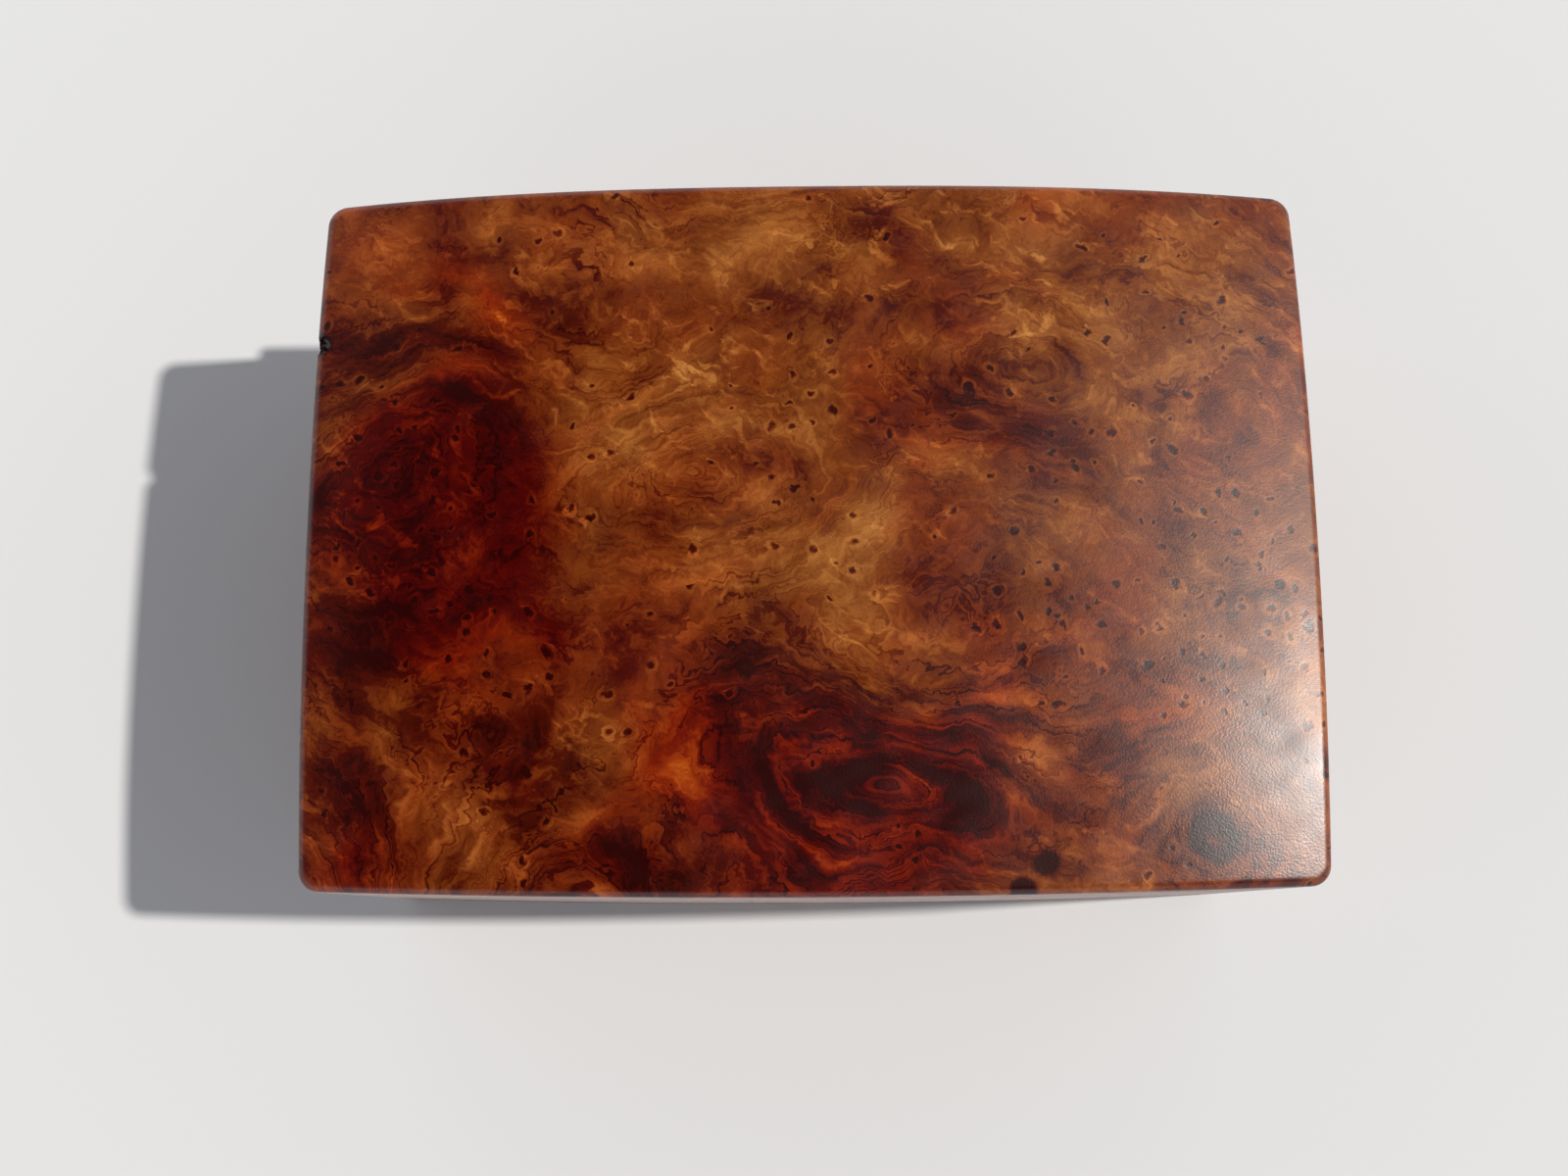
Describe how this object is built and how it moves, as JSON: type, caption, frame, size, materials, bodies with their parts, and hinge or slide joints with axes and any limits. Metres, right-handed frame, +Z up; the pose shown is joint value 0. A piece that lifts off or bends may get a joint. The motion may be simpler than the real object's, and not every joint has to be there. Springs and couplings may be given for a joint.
{
  "type": "secret opening puzzle box",
  "caption": "Rectangular burl wood puzzle box with a pillowed hinged lid, two sliding side panels, a hidden key tray, base shuttles and a small box lock.",
  "frame": {"origin": "centre of the bounding box's underside, on the surface that the box stands on", "axes": "+X along the box to the right as seen from the front, -Y to the front, +Z up"},
  "size_m": [0.15, 0.1086, 0.073],
  "materials": {
    "burl": "polished thuya burl, satin to gloss",
    "lemonwood": "plain pale wood, thin satin finish",
    "base_wood": "plain cedar, unpolished",
    "brass": "satin brass",
    "steel": "bright steel"
  },
  "bodies": {
    "root": {"front_panel": "burl", "back_panel": "burl", "right_panel": "burl", "foot_rail_front": "burl", "rim_rail_front": "burl", "foot_rail_left": "burl", "rim_rail_left": "burl", "foot_rail_back": "burl", "rim_rail_back": "burl", "foot_rail_right": "burl", "rim_rail_right": "burl", "false_floor": "lemonwood", "carcass_front": "lemonwood", "carcass_left": "lemonwood", "carcass_back": "lemonwood", "carcass_right": "lemonwood", "base_board": "base_wood", "hinge_leaf_body_left": "brass", "hinge_pin_left": "steel", "hinge_screw_body_left_outer": "brass", "hinge_screw_body_left_inner": "brass", "lock_screw_selvedge_left": "brass", "lock_screw_plate_left": "brass", "hinge_leaf_body_right": "brass", "hinge_pin_right": "steel", "hinge_screw_body_right_outer": "brass", "hinge_screw_body_right_inner": "brass", "lock_screw_selvedge_right": "brass", "lock_screw_plate_right": "brass", "lock_plate": "brass", "lock_case": "brass", "lock_spring": "brass", "stop_pin_keyhole_panel": "brass", "stop_pin_key_panel": "brass", "lock_key_post": "steel"},
    "lid": {"lid_slab": "burl", "lid_liner": "lemonwood", "staple_plate": "brass", "staple_screw_left": "brass", "staple_screw_right": "brass", "hinge_leaf_lid_left": "brass", "hinge_leaf_lid_right": "brass", "hinge_screw_lid_left_outer": "brass", "hinge_screw_lid_left_inner": "brass", "hinge_screw_lid_right_outer": "brass", "hinge_screw_lid_right_inner": "brass"},
    "key_panel": {"key_panel": "burl", "key_tray": "lemonwood", "key": "steel"},
    "keyhole_panel": {"keyhole_panel": "burl"},
    "key_shuttle": {"key_shuttle": "base_wood"},
    "keyhole_shuttle": {"keyhole_shuttle": "base_wood"},
    "lock_bolt": {"lock_bolt": "brass"}
  },
  "joints": [
    {"name": "lid_hinge", "type": "hinge", "parent": "root", "child": "lid", "pos_m": [0, 0.0528, 0.0601], "axis": [-1, 0, 0], "range_deg": [0, 100]},
    {"name": "key_panel_slide", "type": "slide", "parent": "root", "child": "key_panel", "axis": [0, 1, 0], "range_m": [0, 0.034]},
    {"name": "keyhole_panel_slide", "type": "slide", "parent": "root", "child": "keyhole_panel", "axis": [1, 0, 0], "range_m": [0, 0.024]},
    {"name": "key_shuttle_slide", "type": "slide", "parent": "root", "child": "key_shuttle", "axis": [1, 0, 0], "range_m": [-0.0022, 0]},
    {"name": "keyhole_shuttle_slide", "type": "slide", "parent": "root", "child": "keyhole_shuttle", "axis": [0, 1, 0], "range_m": [-0.0022, 0]},
    {"name": "lock_bolt_slide", "type": "slide", "parent": "root", "child": "lock_bolt", "axis": [1, 0, 0], "range_m": [-0.004, 0]}
  ]
}
